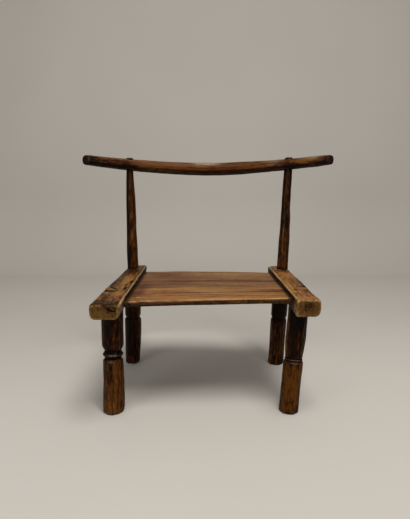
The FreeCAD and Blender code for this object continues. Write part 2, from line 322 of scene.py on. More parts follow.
def standing_out(piece, rounds):
    """How far each point stands out of its surroundings, along its normal."""
    points = points_of(piece)
    return ((points - spread_mean(piece, points, rounds)) * normals_of(piece)).sum(axis=1)


def soften(piece, share, rounds):
    """Rounds the shape off where the share is 1."""
    points = points_of(piece)
    smooth = spread_mean(piece, points, rounds)
    place_points(piece, points + (smooth - points) * share[:, None])


def carve(piece, depth):
    """Moves every point inwards along its normal by its depth."""
    place_points(piece, points_of(piece) - normals_of(piece) * depth[:, None])


def keep(piece, name, values):
    """Stores one number or one vector for each point, for the material to read."""
    vector = values.ndim == 2
    found = piece.data.attributes.get(name)
    kind = "FLOAT_VECTOR" if vector else "FLOAT"
    stored = found or piece.data.attributes.new(name, kind, "POINT")
    stored.data.foreach_set("vector" if vector else "value", values.astype(np.float32).ravel())


def kept(piece, name):
    """The numbers stored for the points."""
    values = np.empty(len(piece.data.vertices), dtype=np.float32)
    piece.data.attributes[name].data.foreach_get("value", values)
    return values.astype(float)


def from_line(points, line):
    """Each point's distance from a line of straight stretches in millimetres, or from one spot."""
    line = np.array(line) * mm
    if len(line) == 1:
        return np.linalg.norm(points - line[0], axis=1)
    nearest = np.full(len(points), np.inf)
    for start, end in zip(line[:-1], line[1:]):
        way = end - start
        share = np.clip((points - start) @ way / (way @ way), 0, 1)
        nearest = np.minimum(nearest, np.linalg.norm(points - start - share[:, None] * way, axis=1))
    return nearest


def spots(points, places):
    """The sum of soft spots, each a centre, a reach along each axis, both in millimetres, and a height."""
    total = np.zeros(len(points))
    for centre, reach, height in places:
        away = (points / mm - np.array(centre)) / np.array(reach)
        total += height * np.exp(-(away ** 2).sum(axis=1))
    return total


def refine(piece, marks, rounds=2):
    """Splits the edges near the marks in two, a number of times."""
    for turn in range(rounds):
        points = points_of(piece)
        near = np.zeros(len(points), dtype=bool)
        for mark in marks:
            near |= from_line(points, mark.line) < (mark.width + rounds - turn) * mm
        mesh = bmesh.new()
        mesh.from_mesh(piece.data)
        edges = [e for e in mesh.edges if near[e.verts[0].index] or near[e.verts[1].index]]
        bmesh.ops.subdivide_edges(mesh, edges=edges, cuts=1, use_grid_fill=True)
        mesh.to_mesh(piece.data)
        mesh.free()


def cut_marks(piece, marks, seed):
    """Cuts cracks, holes, dents and grooves into a piece, and darkens them."""
    refine(piece, marks)
    points = points_of(piece)
    ragged = 0.5 * mm * waves(points, (6 * mm,) * 3, seed)
    ragged += 0.15 * mm * waves(points, (1.5 * mm,) * 3, seed + 1)
    depth = np.zeros(len(points))
    grime_and_shade = kept(piece, "grime_and_shade")
    wear = kept(piece, "wear")
    for mark in marks:
        share = np.clip(1 - (from_line(points, mark.line) + ragged) / (mark.width * mm), 0, 1)
        depth = np.maximum(depth, step_up(share, 0, mark.steep) * mark.depth * mm)
        stained = step_up(share, 0, mark.steep * 0.5)
        if mark.stain > 0:
            grime_and_shade = np.maximum(grime_and_shade, stained * mark.stain)
        else:
            wear = np.maximum(wear, -stained * mark.stain)
    keep(piece, "grime_and_shade", grime_and_shade)
    keep(piece, "wear", wear)
    carve(piece, depth)


def weather_and_shade(piece, wear, grime_and_shade):
    """Stores the wear on what stands out and the grime in what lies deep, with more as given; what is
    given also holds painted highlights and painted shade.
    """
    out = standing_out(piece, weather_rounds)
    keep(piece, "wear", np.clip(wear + step_up(out, *worn_heights) * 0.8, 0, 1))
    keep(piece, "grime_and_shade", np.clip(grime_and_shade + step_up(-out, *grimy_depths), 0, 1))


def finish_piece(piece, grain, along, material, tone, warm):
    """Stores the rest of what the material reads, and gives the piece its material."""
    keep(piece, "grain", grain)
    keep(piece, "tone", tone)
    keep(piece, "warm", np.clip(warm, 0, 1))
    facing_along = np.abs((normals_of(piece) * along).sum(axis=1))
    keep(piece, "end", step_up(facing_along, 0.75, 0.95))
    piece.data.materials.append(material)
    for face in piece.data.polygons:
        face.use_smooth = True


# Materials

rail_colours = Palette(dark=srgb(50, 27, 9), middle=srgb(106, 69, 30), light=srgb(146, 104, 54),
                       warm=srgb(142, 78, 24), pale=srgb(190, 152, 98), grime=srgb(8, 4, 2),
                       cut=srgb(92, 66, 28))
seat_colours = Palette(dark=srgb(76, 40, 18), middle=srgb(116, 76, 38), light=srgb(151, 109, 59),
                       warm=srgb(150, 94, 42), pale=srgb(190, 150, 94), grime=srgb(10, 5, 2),
                       cut=srgb(100, 68, 36))
leg_colours = Palette(dark=srgb(19, 6, 1), middle=srgb(46, 19, 4), light=srgb(92, 56, 16),
                      warm=srgb(86, 48, 5), pale=srgb(150, 126, 96), grime=srgb(3, 1, 1),
                      cut=srgb(124, 86, 44))
crest_colours = Palette(dark=srgb(32, 13, 4), middle=srgb(64, 29, 8), light=srgb(100, 63, 28),
                        warm=srgb(84, 40, 8), pale=srgb(184, 158, 126), grime=srgb(5, 3, 2),
                        cut=srgb(46, 29, 16))

#               rings streaks fibres clouds mottling
leg_shares = (0.14, 0.34, 0.10, 0.10, 0.32)
rail_shares = (0.20, 0.18, 0.10, 0.18, 0.34)
seat_shares = (0.32, 0.28, 0.12, 0.14, 0.14)
crest_shares = (0.20, 0.28, 0.10, 0.14, 0.28)

legs_wood = [wood("leg_wood_" + str(i), leg_colours, 3 + i, round_heart, round_rings, leg_shares,
                  gloss=0.34, shine=0.06) for i in range(4)]
rails_wood = [wood("rail_wood_" + str(i), rail_colours, 11 + i, rail_heart, rail_rings, rail_shares,
                   gloss=0.38, shine=0.08) for i in range(2)]
seat_wood = wood("seat_wood", seat_colours, 17, seat_heart, seat_rings, seat_shares,
                 gloss=0.36, shine=0.12)
crest_wood = wood("crest_wood", crest_colours, 23, round_heart, round_rings, crest_shares,
                  gloss=0.32, shine=0.08)


# Rails. Their tones and warm places are soft spots, each a centre, a reach and a strength.

left_rail_marks = [
    # Two bored holes and the curved cracks that join them
    Mark([(-180.4, -108.0, 270.2), (-180.4, -92.0, 270.2)], 4.2, 8.0, 0.5, 1.0),
    Mark([(-177.6, -46.0, 270.2), (-177.2, -22.0, 270.2)], 4.4, 8.0, 0.5, 1.0),
    Mark([(-180.6, -97.0, 270.2), (-183.5, -80.0, 270.2), (-183.2, -58.0, 270.2),
          (-179.0, -34.5, 270.2)], 1.8, 2.2, 0.9, 0.95),
    Mark([(-178.0, -98.0, 270.2), (-173.6, -80.0, 269.6), (-172.8, -55.0, 269.6),
          (-175.6, -35.0, 270.2)], 1.4, 1.4, 0.9, 0.9),
    # The gap in front of the tenon, and the splintered wood beside it
    Mark([(-220.0, -117.0, 269.8), (-215.0, -126.5, 270.2), (-207.5, -131.5, 270.2),
          (-199.0, -132.5, 270.2), (-190.5, -128.5, 270.2)], 2.2, 2.2, 0.8, 0.7),
    Mark([(-211.0, -90.0, 270.2), (-203.0, -98.0, 270.2), (-195.0, -112.0, 270.2)], 4.8, 2.0, 0.9, 0.8),
    Mark([(-197.0, -116.0, 270.2), (-187.0, -124.0, 270.2)], 2.4, 1.2, 0.8, 0.7),
    Mark([(-217.0, -142.0, 269.8), (-205.0, -146.0, 270.2), (-192.0, -143.0, 270.2)], 3.2, 0.6, 1.0, -0.6),
    # Chips along the front end's upper edge
    Mark([(-213.0, -230.0, 269.8), (-204.0, -228.0, 270.0)], 4.0, 1.3, 1.0, 0.45),
    Mark([(-197.5, -233.0, 269.0), (-193.5, -234.0, 267.0)], 4.6, 1.8, 1.0, 0.6),
    Mark([(-214.0, -208.0, 270.2), (-203.0, -201.0, 270.2)], 4.2, 0.9, 1.0, 0.45),
    Mark([(-208.0, -186.0, 270.2), (-199.0, -190.0, 270.2)], 3.6, 0.7, 1.0, 0.4),
    Mark([(-186.0, -216.0, 270.2), (-182.0, -205.0, 270.2)], 3.0, 0.8, 1.0, 0.4),
    # The split in the front end and the flake that it frees
    Mark([(-170.0, -236.0, 269.0), (-170.5, -224.0, 270.5)], 8.5, 3.4, 1.0, 0.3),
    Mark([(-196.0, -234.5, 267.0), (-192.4, -234.5, 262.4), (-188.6, -234.5, 259.2),
          (-184.0, -234.5, 256.7), (-176.0, -234.5, 255.8)], 1.5, 2.6, 0.8, 0.95),
    Mark([(-187.4, -232.0, 270.0), (-183.0, -234.5, 266.8), (-178.0, -234.5, 263.4),
          (-174.4, -234.5, 261.4)], 1.4, 2.0, 0.8, 0.9),
    Mark([(-214.0, -234.5, 246.0), (-203.0, -234.5, 243.5)], 1.2, 0.7, 0.8, 0.5),
    Mark([(-181.0, -234.5, 250.0), (-180.0, -234.5, 242.0)], 1.2, 0.8, 0.8, 0.6),
    # The broken wood where the board goes in
    Mark([(-168.6, -178.5, 262.0)], 4.4, 3.0, 0.8, 1.0),
    Mark([(-167.0, -190.0, 257.0), (-167.0, -196.0, 262.0)], 3.6, 2.4, 0.8, 0.95),
    Mark([(-166.8, -178.0, 250.5)], 5.0, 3.0, 0.8, 1.0),
    Mark([(-168.0, -186.0, 247.0)], 3.0, 1.2, 1.0, -0.5),
]

right_rail_marks = [
    # The tenon's gap, wide at one side
    Mark([(182.0, -119.0, 270.2), (185.0, -106.0, 270.2), (191.0, -93.0, 270.2),
          (199.0, -87.0, 270.2), (206.5, -86.0, 270.2)], 3.4, 2.6, 0.7, 1.0),
    Mark([(207.0, -86.0, 269.8), (212.5, -96.0, 268.4)], 6.0, 4.0, 0.6, 1.0),
    Mark([(184.0, -121.0, 270.2), (191.0, -123.5, 270.2), (198.5, -122.0, 270.2),
          (204.5, -116.0, 270.2)], 3.2, 2.0, 0.8, 1.0),
    Mark([(198.0, -131.5, 270.2), (206.0, -128.5, 270.2)], 4.2, 1.6, 0.9, 1.0),
    Mark([(186.0, -130.0, 270.2), (193.0, -132.0, 270.2)], 3.0, 0.5, 1.0, -0.6),
    # Dents and chips
    Mark([(167.5, -203.0, 269.0), (166.5, -192.0, 269.0)], 3.6, 1.2, 1.0, 0.6),
    Mark([(174.0, -165.0, 270.2), (181.0, -148.0, 270.2)], 3.0, 0.7, 1.0, 0.45),
    Mark([(190.0, -62.0, 270.2), (193.0, -36.0, 270.2)], 2.4, 0.6, 1.0, 0.4),
    Mark([(178.0, 30.0, 270.2), (181.0, 52.0, 270.2)], 2.6, 0.6, 1.0, 0.45),
    Mark([(165.8, -154.5, 258.0)], 4.6, 2.6, 0.8, 1.0),
    Mark([(166.0, -160.0, 250.5)], 5.0, 2.4, 0.8, 1.0),
    # The hollow worn into the front end
    Mark([(188.0, -206.8, 256.0), (197.0, -206.8, 253.0)], 9.0, 0.9, 1.0, 0.12),
]

left_rail_tone = [((-195, 0, 255), (400, 900, 90), -0.32), ((-206, -216, 270), (13, 15, 9), -0.8),
                  ((-219, -60, 268), (9, 60, 12), -1.3), ((-205, 100, 270), (26, 26, 12), -1.2),
                  ((-190, -20, 270), (10, 50, 9), 0.9), ((-186, -150, 270), (9, 40, 9), 0.8),
                  ((-186, -234, 262), (9, 12, 9), -1.5), ((-205, -234, 246), (14, 9, 9), 0.8)]
left_rail_warm = [((-198, -172, 270), (19, 36, 9), 1.0), ((-186, 40, 270), (14, 60, 9), 0.45)]
right_rail_tone = [((190, -105, 270), (12, 10, 9), -0.6), ((183, -117, 270), (5, 8, 9), -1.0),
                   ((210, -60, 268), (8, 70, 12), -0.9), ((195, 95, 270), (26, 26, 12), -0.9),
                   ((178, -100, 270), (8, 60, 9), 0.8), ((190, -206, 256), (13, 9, 9), -1.5),
                   ((190, -190, 270), (18, 14, 9), 0.6), ((185, 60, 270), (30, 60, 12), 0.7)]
right_rail_warm = [((190, -150, 270), (22, 40, 9), 0.75), ((190, 10, 270), (20, 70, 9), 0.5)]

# The barrel values say how far the outer side draws in at its top and its bottom
Rail = namedtuple("Rail", "node name side barrel_top barrel_bottom front_wear marks tone warm")
rails = [
    Rail("left_side_rail", "left_rail", -1, 2.2 * mm, 2.4 * mm, -0.9,
         left_rail_marks, left_rail_tone, left_rail_warm),
    Rail("right_side_rail", "right_rail", 1, 2.4 * mm, 3.6 * mm, 0.2,
         right_rail_marks, right_rail_tone, right_rail_warm),
]


def dress_rail(rail, material, seed):
    """A seat rail with a barrel-shaped outer side, uneven faces and worn edges."""
    piece = even_copy(rail.node, rail.name, rail_step)
    low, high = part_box(rail.node)
    points = points_of(piece)
    middle_x, middle_z = (low[0] + high[0]) / 2, (low[2] + high[2]) / 2
    across = (points[:, 0] - middle_x) * rail.side / ((high[0] - low[0]) / 2)
    upwards = (points[:, 2] - middle_z) / ((high[2] - low[2]) / 2)
    barrel = np.where(upwards > 0, rail.barrel_top, rail.barrel_bottom) * upwards ** 2
    points[:, 0] -= rail.side * barrel * step_up(across, 0.2, 1.0)
    place_points(piece, points)

    uneven = 0.3 * mm * waves(points, (28 * mm, 80 * mm, 28 * mm), seed)
    ripple = 0.12 * mm * waves(points, (5 * mm, 22 * mm, 5 * mm), seed + 1)
    worn_edge = 0.6 * mm * (1 + waves(points, (9 * mm, 14 * mm, 9 * mm), seed + 2))
    edge = step_up(standing_out(piece, 10), 0.3 * mm, 1.2 * mm)
    carve(piece, 0.1 * mm + uneven + ripple + edge * worn_edge)

    points = points_of(piece)
    normals = normals_of(piece)
    # The inner arris is rubbed pale, partly as a painted highlight, and the underside and the inner side
    # at the board's housing get painted shade
    inner = step_up(across, -0.62, -0.80)
    arris = inner * step_up(points[:, 2], rail_top - 6 * mm, rail_top - 2 * mm)
    arris *= step_up(-rail.side * normals[:, 0], 0.12, 0.5) * step_up(normals[:, 2], 0.2, 0.5)
    front_arris = step_up(-normals[:, 1], 0.15, 0.5) * step_up(normals[:, 2], 0.25, 0.6)
    inner_side = step_up(-rail.side * normals[:, 0], 0.6, 0.9) * inner
    underside_shade = step_up(-normals[:, 2], 0.3, 0.8)
    housing_shade = inner_side * step_up(points[:, 1], -200 * mm, -170 * mm)
    weather_and_shade(piece, 0.75 * arris + rail.front_wear * front_arris, housing_shade + 0.5 * underside_shade)
    cut_marks(piece, rail.marks, seed + 3)

    points = points_of(piece)
    grain = points[:, [1, 0, 2]]
    finish_piece(piece, grain, np.array([0, 1, 0]), material, spots(points, rail.tone),
                 spots(points, rail.warm))


# Seat board

plank_marks = [
    # Nicks and scallops along the front edge
    Mark([(-62.0, -171.5, 255.0), (-52.0, -171.5, 254.0)], 3.2, 1.5, 1.0, -0.5),
    Mark([(-44.0, -171.0, 253.0)], 4.0, 2.2, 0.9, 0.8),
    Mark([(-37.0, -171.0, 255.5)], 3.4, 1.6, 1.0, -0.9),
    Mark([(-28.0, -171.0, 252.5), (-19.0, -170.6, 253.5)], 3.6, 2.4, 0.9, 0.9),
    Mark([(-12.0, -170.4, 256.0)], 3.4, 1.6, 1.0, -0.8),
    Mark([(-2.0, -170.0, 255.5)], 3.6, 2.6, 0.8, 1.0),
    Mark([(6.0, -169.5, 254.5)], 3.8, 2.6, 0.8, 1.0),
    Mark([(17.0, -169.0, 256.0)], 4.0, 1.4, 1.0, -0.7),
    Mark([(26.0, -168.0, 253.5), (35.0, -167.5, 254.5)], 3.4, 2.2, 0.9, 0.95),
    Mark([(60.0, -166.0, 252.5), (74.0, -165.0, 252.0)], 2.8, 1.4, 1.0, 0.7),
    Mark([(112.0, -160.5, 254.0), (120.0, -160.0, 252.0)], 3.2, 1.6, 0.9, 0.9),
    Mark([(-106.0, -173.5, 253.0), (-90.0, -173.0, 252.0)], 2.4, 1.1, 1.0, 0.6),
    # The broken left corner
    Mark([(-166.0, -175.5, 257.5)], 5.2, 3.8, 0.9, 1.0),
    Mark([(-160.0, -175.5, 252.0)], 4.2, 3.0, 0.8, 0.95),
    Mark([(-152.0, -175.0, 249.0)], 3.4, 1.8, 0.9, 0.8),
    Mark([(163.0, -151.0, 256.0)], 4.2, 2.6, 0.9, 1.0),
    # A knot and small dents on the face
    Mark([(-160.5, -127.6, 259.3), (-156.5, -127.0, 259.3)], 4.0, 0.9, 0.9, 0.85),
    Mark([(-150.0, -139.0, 259.3), (-132.0, -136.0, 259.3)], 3.2, 0.5, 1.0, -0.7),
    Mark([(-120.0, -120.0, 259.3), (-100.0, -116.0, 259.3)], 3.0, 0.5, 1.0, -0.6),
    Mark([(-140.0, -92.0, 259.3), (-124.0, -90.0, 259.3)], 2.6, 0.5, 1.0, -0.5),
    # Long fine cracks
    Mark([(-60.0, 96.0, 259.3), (-20.0, 101.0, 259.3), (25.0, 98.0, 259.3),
          (70.0, 101.0, 259.3)], 1.2, 0.6, 0.9, 0.6),
    Mark([(-10.0, 32.0, 259.3), (60.0, 35.0, 259.3), (128.0, 31.0, 259.3)], 1.2, 0.6, 0.9, 0.6),
    Mark([(-150.0, -30.0, 259.3), (-110.0, -20.0, 259.3), (-66.0, -16.0, 259.3)], 1.2, 0.6, 0.9, 0.55),
]

plank_tone = [((-30, 25, 259), (120, 9, 9), -0.9), ((120, 20, 259), (60, 14, 9), -0.8),
              ((-110, 90, 259), (60, 30, 9), -0.5), ((-150, -60, 259), (14, 80, 9), -0.8),
              # The next spot, a dark band along the front face, is painted shade
              ((0, -166, 251), (400, 14, 6), -1.6),
              ((0, -150, 259), (200, 14, 12), 0.8), ((100, -110, 259), (80, 16, 9), 0.5),
              ((-60, -20, 259), (90, 10, 9), -0.6), ((60, 110, 259), (90, 18, 9), 0.6),
              ((-30, -75, 259), (110, 14, 9), 0.5), ((130, -90, 259), (40, 12, 9), -0.8)]
plank_warm = [((20, -135, 259), (190, 30, 12), 0.9), ((-110, -100, 259), (70, 40, 12), 0.6),
              ((110, -60, 259), (70, 30, 12), 0.35)]


def inner_edge(points, node, side):
    """How far each point lies from a rail's inner side, seen from above."""
    reach = 60 * mm
    rail = np.array([v.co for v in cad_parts[node].data.vertices])
    ends = []
    for y in (seat_low[1], seat_high[1]):
        near = rail[np.abs(rail[:, 1] - y) < reach]
        ends.append((near[:, 1].mean(), (near[:, 0] * -side).max() * -side))
    (y0, x0), (y1, x1) = ends
    return np.abs(points[:, 0] - (x0 + (x1 - x0) * (points[:, 1] - y0) / (y1 - y0)))


def dress_plank():
    """The seat board, a little wavy, its front edge worn pale above and nicked."""
    piece = even_copy("seat_plank", "seat_board", plank_step)
    points = points_of(piece)
    top, underside, front_edge = seat_high[2], seat_low[2], seat_low[1]
    uneven = 0.35 * mm * waves(points, (110 * mm, 40 * mm, 60 * mm), 41)
    ripple = 0.10 * mm * waves(points, (34 * mm, 5 * mm, 9 * mm), 42)
    front = step_up(points[:, 1], front_edge + 26 * mm, front_edge + 4 * mm)
    front *= step_up(points[:, 2], top - 7 * mm, top - 3 * mm)
    scallops = 0.35 * mm * front * waves(points, (14 * mm, 20 * mm, 14 * mm), 43)
    carve(piece, 0.1 * mm + uneven + ripple + scallops)

    # The lip over the front face is rubbed pale. Painted shade darkens the front face and its lower edge,
    # the underside and, with some dirt, the corners by the rails.
    points = points_of(piece)
    normals = normals_of(piece)
    lip = step_up(points[:, 2], top - 1.6 * mm, top - 0.8 * mm) * step_up(-normals[:, 1], 0.02, 0.2)
    lip *= 0.5 + 0.5 * waves(points, (40 * mm, 900 * mm, 900 * mm), 45)
    front_face = step_up(-normals[:, 1], 0.2, 0.45)
    front_face *= step_up(points[:, 2], top - 0.8 * mm, top - 3 * mm)
    darker_to_right = 0.5 + 0.5 * step_up(points[:, 0], -60 * mm, 30 * mm)
    face = front_face * (darker_to_right + 0.1 * waves(points, (22 * mm, 900 * mm, 6 * mm), 46))
    foot = step_up(points[:, 2], underside + 6 * mm, underside + 3 * mm)
    foot *= step_up(-normals[:, 1], 0.2, 0.5)
    underside_shade = step_up(-normals[:, 2], 0.2, 0.8)
    corner_shade_and_dirt = step_up(inner_edge(points, "left_side_rail", -1), 10 * mm, 2 * mm)
    corner_shade_and_dirt += step_up(inner_edge(points, "right_side_rail", 1), 6 * mm, 1.5 * mm)
    weather_and_shade(piece, 0.38 * lip, np.maximum(face, foot) + 0.6 * underside_shade + corner_shade_and_dirt)
    keep(piece, "wear", kept(piece, "wear") * (1 - 0.85 * front_face))
    cut_marks(piece, plank_marks, 44)

    # The grain runs a little across the board, and winds
    points = points_of(piece)
    slope = 0.03
    wind = 5 * mm * waves(points, (170 * mm, 90 * mm, 900 * mm), 47)
    along = points[:, 0] + slope * points[:, 1]
    across = points[:, 1] - slope * points[:, 0] + wind
    grain = np.column_stack([along, across, points[:, 2]])
    finish_piece(piece, grain, np.array([1, 0, 0]), seat_wood, spots(points, plank_tone),
                 spots(points, plank_warm))


# Legs and stiles

# Round a leg, -90 degrees faces the viewer and 0 is the viewer's right. A rub is a painted highlight
# on the front of the ring or below it: its angle and half-width in degrees, its height over the ring,
# its reach and its strength. A lobe with a positive strength lightens one side of the leg as painted
# light, and one with a negative strength darkens it as painted shade: its angle and half-width, its
# lower and upper height, and its strength. A streak is the same, but pale, partly wear and partly a
# painted highlight, and with a half-width in millimetres.
# Rings, grooves and heights are in millimetres too.
Leg = namedtuple("Leg", ["node", "name", "swell", "ring", "groove", "groove_width", "soft", "rub",
                         "lobes", "streaks", "warm_low", "warm_high", "marks"])
legs = [
    Leg("front_left_leg", "left_front_carved_leg", (0.4 * mm, -0.4 * mm), 128.9, 7.9, 4.2, 2,
        [(-84, 26, -0.8, 2.0, 0.6), (-95, 22, -14.0, 2.6, 0.35)],
        [(-105, 32, 145, 250, -0.5), (-45, 26, 140, 235, 0.5), (-150, 26, 150, 230, 0.3),
         (-90, 180, 126, 132, -2.2), (-168, 22, 10, 115, -0.9), (-95, 20, 50, 112, -0.3),
         (-50, 30, 30, 110, 0.5), (-90, 90, -5, 30, 0.5)],
        [(-121, 1.8, 62, 112, 0.5), (-84, 1.3, 6, 30, 0.25), (-104, 1.1, 14, 60, 0.2),
         (-62, 1.2, 30, 80, 0.2)],
        0.45, 0.1,
        [Mark([(-228.0, -142.0, 60.0), (-227.5, -139.0, 95.0)], 1.4, 1.0, 0.9, 0.8),
         Mark([(-212.0, -156.0, 22.0), (-211.0, -154.0, 62.0)], 1.2, 0.8, 0.9, 0.7),
         Mark([(-203.0, -158.0, 2.0)], 4.5, 1.6, 1.0, 0.8),
         Mark([(-224.0, -150.0, 1.0)], 4.5, 1.8, 1.0, 0.8),
         Mark([(-191.0, -146.0, 2.0)], 4.0, 1.4, 1.0, 0.8),
         Mark([(-217.0, -127.0, 160.0), (-216.0, -124.0, 205.0)], 1.2, 0.8, 0.9, 0.7),
         Mark([(-214.0, -91.0, 270.0), (-206.0, -97.0, 270.0), (-200.0, -106.0, 270.0)],
              4.6, 1.8, 0.9, 0.95)]),
    Leg("front_right_leg", "right_front_carved_leg", (-0.4 * mm, 0.4 * mm), 117.5, 2.6, 2.0, 0,
        [(-88, 32, 0.0, 1.2, 0.5), (-92, 24, -6.4, 1.6, 0.4)],
        [(-90, 34, 185, 260, -1.4), (-105, 26, 125, 190, -0.2), (-165, 24, 125, 235, 0.6),
         (-20, 26, 125, 230, 0.3), (-100, 50, 5, 108, 0.25), (-8, 20, 5, 110, -0.8),
         (-172, 20, 5, 110, -0.6)],
        [(-168, 1.5, 20, 108, 0.4), (-160, 1.6, 150, 225, 0.2), (-60, 1.4, 130, 200, 0.12)],
        0.75, 0.1,
        [Mark([(166.0, -157.0, 2.0)], 4.5, 1.8, 1.0, 0.9),
         Mark([(176.5, -159.5, 1.0)], 4.5, 2.2, 1.0, 1.0),
         Mark([(186.0, -154.0, 2.0)], 4.0, 1.5, 1.0, 0.9),
         Mark([(181.0, -151.0, 12.0), (183.0, -148.0, 46.0)], 1.0, 0.7, 0.9, 0.6),
         Mark([(190.0, -140.0, 130.0), (192.0, -134.0, 180.0)], 1.2, 0.8, 0.9, 0.7)]),
]


def slice_centre(points, low, high):
    """The middle of the outline of the points between two heights."""
    band = points[(points[:, 2] > low) & (points[:, 2] < high)]
    return (band.min(axis=0) + band.max(axis=0)) / 2


def round_coordinates(points, low, high):
    """Distance along an upright piece's axis, angle round it and distance from it, and the axis."""
    along = (high - low) / np.linalg.norm(high - low)
    out = points - low
    distance = out @ along
    out = out - distance[:, None] * along
    return distance, np.arctan2(out[:, 1], out[:, 0]), np.linalg.norm(out, axis=1), along


def round_grain(distance, angle, radius):
    """The grain's own coordinates in an upright piece."""
    return np.column_stack([distance, radius * np.cos(angle), radius * np.sin(angle)])


def turned_from(angle, middle):
    """How far each angle is turned from the middle one, which is in degrees."""
    return (angle - math.radians(middle) + math.pi) % tau - math.pi


def between(heights, low, high, edge):
    """1 between the low and the high one and 0 outside, with soft edges."""
    return step_up(heights, low - edge, low + edge) * step_up(heights, high + edge, high - edge)


def knife_cuts(distance, angle, radius, points, flats, flat_depth, seed):
    """How deep the knife's flats, its long marks and the wood's own lumps go in an upright piece."""
    twist = 0.5 * waves(points * [0, 0, 1], (1, 1, 130 * mm), seed)
    share = ((angle + twist) * flats / tau) % 1 - 0.5
    round_and_up = np.column_stack([angle * radius.mean(), distance * 0.1, 0 * radius])
    marks = 0.13 * mm * waves(round_and_up, (2.4 * mm,) * 3, seed + 1)
    lumps = 0.45 * mm * waves(points, (28 * mm, 28 * mm, 60 * mm), seed + 2)
    return flat_depth * (0.5 - np.abs(share) * 2) + marks + lumps


def lobes_of(points, angle, lobes):
    """The sum of soft-ended stretches on the sides of an upright piece: painted light where they lighten
    it, painted shade where they darken it.
    """
    total = np.zeros(len(points))
    for middle, half, low, high, strength in lobes:
        away = np.degrees(turned_from(angle, middle)) / half
        total += strength * np.exp(-away ** 2) * between(points[:, 2] / mm, low, high, 8)
    return total


def pale_streaks(points, angle, radius, streaks, seed):
    """Pale streaks that run up a leg, broken here and there and winding a little; partly wear and partly
    painted highlights.
    """
    total = np.zeros(len(points))
    broken = step_up(waves(points, (9 * mm, 9 * mm, 22 * mm), seed), -1.2, 0.2)
    winding = 1.2 * waves(points * [0, 0, 1], (1, 1, 30 * mm), seed + 1)
    for middle, half, low, high, strength in streaks:
        away = (turned_from(angle, middle) * radius / mm + winding) / half
        ends = between(points[:, 2] / mm, low, high, 5)
        total = np.maximum(total, strength * np.exp(-away ** 2) * ends * broken)
    return total


def stand_flat(piece):
    """Keeps a foot's points from going under the floor."""
    points = points_of(piece)
    points[:, 2] = np.maximum(points[:, 2], 0)
    place_points(piece, points)


def dress_leg(leg, material, seed):
    """A carved front leg with its ring, flat cuts of the knife and a worn foot."""
    piece = even_copy(leg.node, leg.name, leg_step)
    points = points_of(piece)
    underside = left_underside if points[:, 0].mean() < 0 else right_underside
    ring = leg.ring * mm
    soften(piece, step_up(np.abs(points[:, 2] - ring), 22 * mm, 18 * mm), leg.soft)
    soften(piece, step_up(points[:, 2], 10 * mm, 4 * mm) * step_up(points[:, 2], 0.2 * mm, 1 * mm), 4)
    points = points_of(piece)
    low = slice_centre(points, 30 * mm, 34 * mm)
    high = slice_centre(points, 190 * mm, 194 * mm)
    distance, angle, radius, along = round_coordinates(points, low, high)
    cuts = knife_cuts(distance, angle, radius, points, 11, 0.5 * mm, seed)
    from_ring = (points - low) @ along - (ring - low[2]) / along[2]
    groove_width = leg.groove_width * mm
    groove = step_up(np.abs(np.abs(from_ring) - leg.groove * mm), groove_width, 0.3 * groove_width)
    cuts = cuts * step_up(np.abs(from_ring), 10 * mm, 18 * mm) + 0.5 * mm * groove
    at_top, at_foot = leg.swell
    below_ring = step_up(points[:, 2], ring - 4 * mm, ring - 12 * mm)
    taper = np.interp(points[:, 2], [0, ring], [at_foot, at_top]) * below_ring
    free = step_up(points[:, 2], underside - 1 * mm, underside - 8 * mm)
    foot = step_up(points[:, 2], 12 * mm, 2 * mm)
    worn_foot = foot * 0.6 * mm * (1 + waves(points, (10 * mm,) * 3, seed + 3))
    carve(piece, (cuts + taper + worn_foot) * free)
    stand_flat(piece)

    points = points_of(piece)
    foot_edge = step_up(points[:, 2], 6 * mm, 1 * mm)
    shade = step_up(points[:, 2], underside - 55 * mm, underside - 2 * mm)
    shade *= step_up(points[:, 2], rail_top - 3 * mm, rail_top - 6 * mm)
    # Pale streaks, partly wear and partly painted highlights, and the ring's painted highlights
    rub = pale_streaks(points, angle, radius, leg.streaks, seed + 5)
    for middle, half, above, reach, strength in leg.rub:
        away = np.degrees(turned_from(angle, middle)) / half
        band = np.exp(-away ** 4 - ((from_ring / mm - above) / reach) ** 2)
        rub = np.maximum(rub, strength * band)
    weather_and_shade(piece, rub, 0.7 * shade + 0.8 * foot_edge + groove)
    cut_marks(piece, leg.marks, seed + 4)

    # The tenon's end on the rail is lighter than the leg
    points = points_of(piece)
    distance, angle, radius, along = round_coordinates(points, low, high)
    grain = round_grain(distance, angle, radius)
    # The upper leg is darkened as painted shade under the seat, the lower leg is warmer and lighter,
    # partly as painted light, and the lobes paint light and shade on its sides
    lower = step_up(points[:, 2], ring + 4 * mm, ring - 14 * mm)
    warm = leg.warm_low * lower + leg.warm_high * (1 - lower)
    top = step_up(points[:, 2], rail_top - 3 * mm, rail_top - 1 * mm)
    tone = lobes_of(points, angle, leg.lobes) - 0.35 * (1 - lower)
    finish_piece(piece, grain, along, material, tone + 2.5 * top, np.maximum(warm, top))


